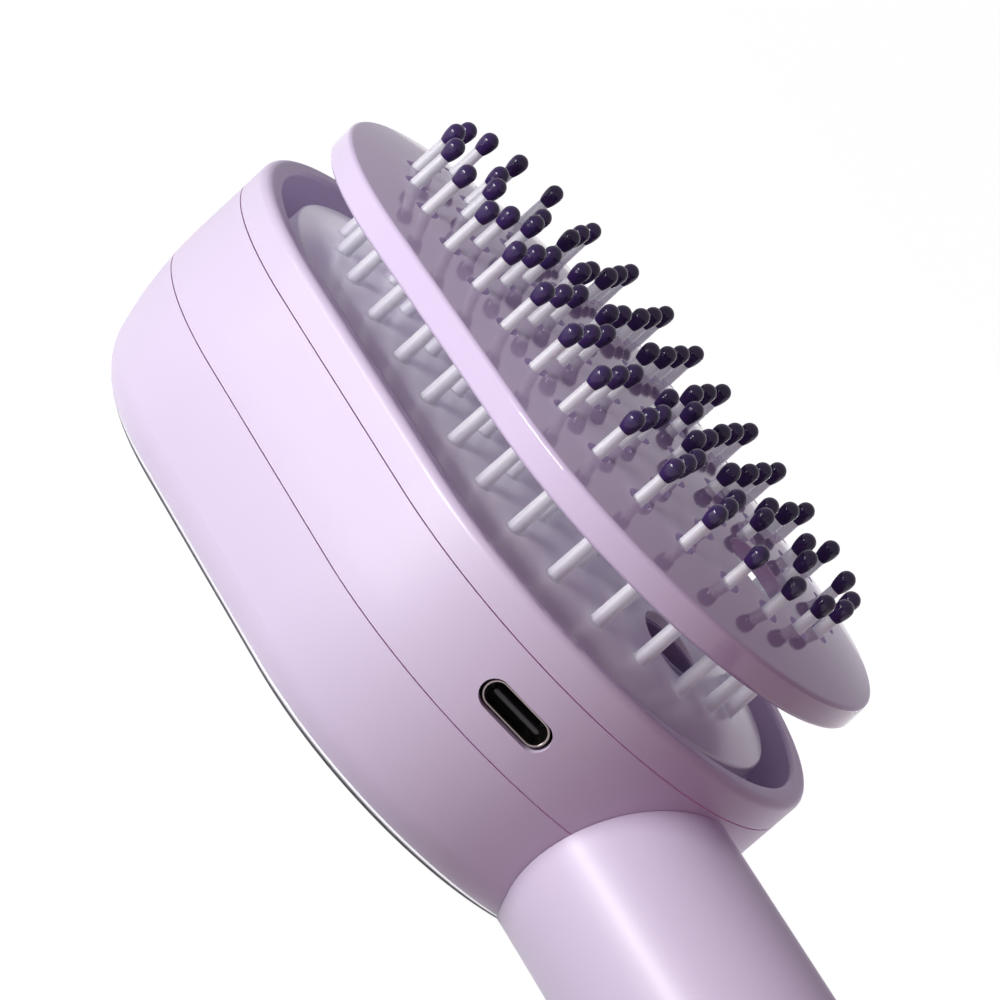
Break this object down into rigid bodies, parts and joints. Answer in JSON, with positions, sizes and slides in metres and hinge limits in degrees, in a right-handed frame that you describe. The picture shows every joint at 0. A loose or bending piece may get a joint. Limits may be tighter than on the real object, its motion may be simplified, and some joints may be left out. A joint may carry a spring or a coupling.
{
  "type": "red light massage comb",
  "caption": "Oval massage comb head with domed cleaning plate raised along its round-tipped bristles, charging port, round handle and power button.",
  "frame": {"origin": "on the flat back, under the middle of the oval head", "axes": "+X from the head towards the handle, +Y away from the side with the charging port, +Z along the bristles"},
  "size_m": [0.2247, 0.0694, 0.05],
  "materials": {
    "lilac_shell": "satin lilac moulding",
    "back_panel": "glossy pale inlay",
    "chrome_trim": "bright plated",
    "seal": "dark silicone",
    "clear_base": "milky translucent, glossy",
    "white_bristle": "satin white",
    "purple_tip": "glossy dark purple",
    "cleaning_plate": "glossy mauve",
    "sleeve": "satin mauve",
    "circuit_board": "green solder mask",
    "red_lamp": "red lens",
    "black_plastic": "black",
    "steel": "plain steel",
    "cell": "film-wrapped cell",
    "foam": "foam rubber",
    "inner_plastic": "unpolished moulding",
    "button": "satin white"
  },
  "bodies": {
    "body": {"back_panel": "back_panel", "trim_ring": "chrome_trim", "back_shell": "lilac_shell", "mid_shell": "lilac_shell", "front_rim": "lilac_shell", "base_gasket": "seal", "bristle_base": "clear_base", "outer_ring_pins": "white_bristle", "second_ring_pins": "white_bristle", "third_ring_pins": "white_bristle", "centre_ring_pins": "white_bristle", "outer_ring_tips": "purple_tip", "second_ring_tips": "purple_tip", "third_ring_tips": "purple_tip", "centre_ring_tips": "purple_tip", "outlet_sleeve": "sleeve", "ion_needle": "steel", "led_board": "circuit_board", "red_leds": "red_lamp", "main_board": "circuit_board", "controller_chip": "black_plastic", "usb_shell": "steel", "usb_insulator": "black_plastic", "usb_tongue": "black_plastic", "shell_screws": "steel", "board_screws": "steel", "strap_screws": "steel", "motor_can": "steel", "motor_strap": "steel", "neck_tube": "inner_plastic", "handle_shell": "lilac_shell", "handle_end_cap": "lilac_shell", "battery_cell": "cell", "battery_cushions": "foam", "button_bezel": "chrome_trim", "button_switch": "black_plastic", "button_board": "circuit_board"},
    "plate": {"cleaning_plate": "cleaning_plate"},
    "button": {"power_button": "button"},
    "rotor": {"motor_shaft": "steel", "motor_weight": "steel"}
  },
  "joints": [
    {"name": "plate_slide", "type": "slide", "parent": "body", "child": "plate", "axis": [0, 0, 1], "range_m": [-0.0095, 0.003]},
    {"name": "button_press", "type": "slide", "parent": "body", "child": "button", "axis": [0, 0, -1], "range_m": [0, 0.0005], "stiffness_N_per_m": 600, "springref_m": -0.001},
    {"name": "motor_spin", "type": "hinge", "parent": "body", "child": "rotor", "pos_m": [-0.01, 0, 0.011], "axis": [1, 0, 0], "continuous": true}
  ]
}
